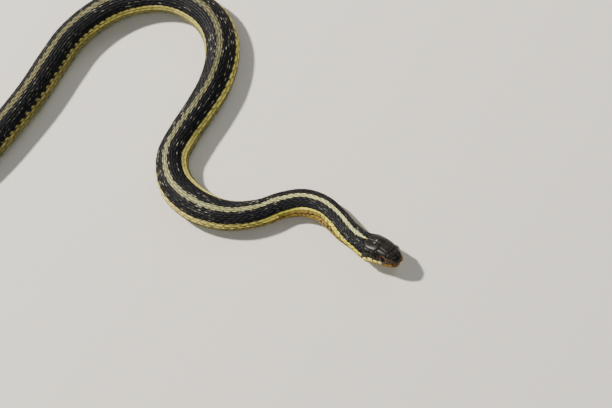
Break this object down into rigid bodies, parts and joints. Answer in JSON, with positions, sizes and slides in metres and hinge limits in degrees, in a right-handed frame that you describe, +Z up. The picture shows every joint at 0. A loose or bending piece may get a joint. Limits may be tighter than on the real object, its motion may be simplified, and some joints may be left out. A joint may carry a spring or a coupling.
{
  "type": "garter snake model",
  "caption": "Life-size still model of a striped garter snake resting in open bends, head slightly raised, for display or a scene.",
  "frame": {"origin": "on the floor at the centre of the animal's footprint box", "axes": "+Z up from the floor, -Y roughly the way the head faces, -X towards the tail"},
  "size_m": [0.3458, 0.2644, 0.0119],
  "materials": {
    "head_scales": "satin dark olive grey plates",
    "body_scales": "satin blue-black scales with three pale stripes",
    "eye": "glossy near black"
  },
  "bodies": {
    "root": {"head": "head_scales", "eye_right": "eye", "eye_left": "eye", "neck": "body_scales", "body_01": "body_scales", "body_02": "body_scales", "body_03": "body_scales", "body_04": "body_scales", "body_05": "body_scales", "body_06": "body_scales", "body_07": "body_scales", "body_08": "body_scales", "body_09": "body_scales", "body_10": "body_scales", "body_11": "body_scales", "body_12": "body_scales", "tail_01": "body_scales", "tail_02": "body_scales", "tail_tip": "body_scales"}
  },
  "joints": []
}
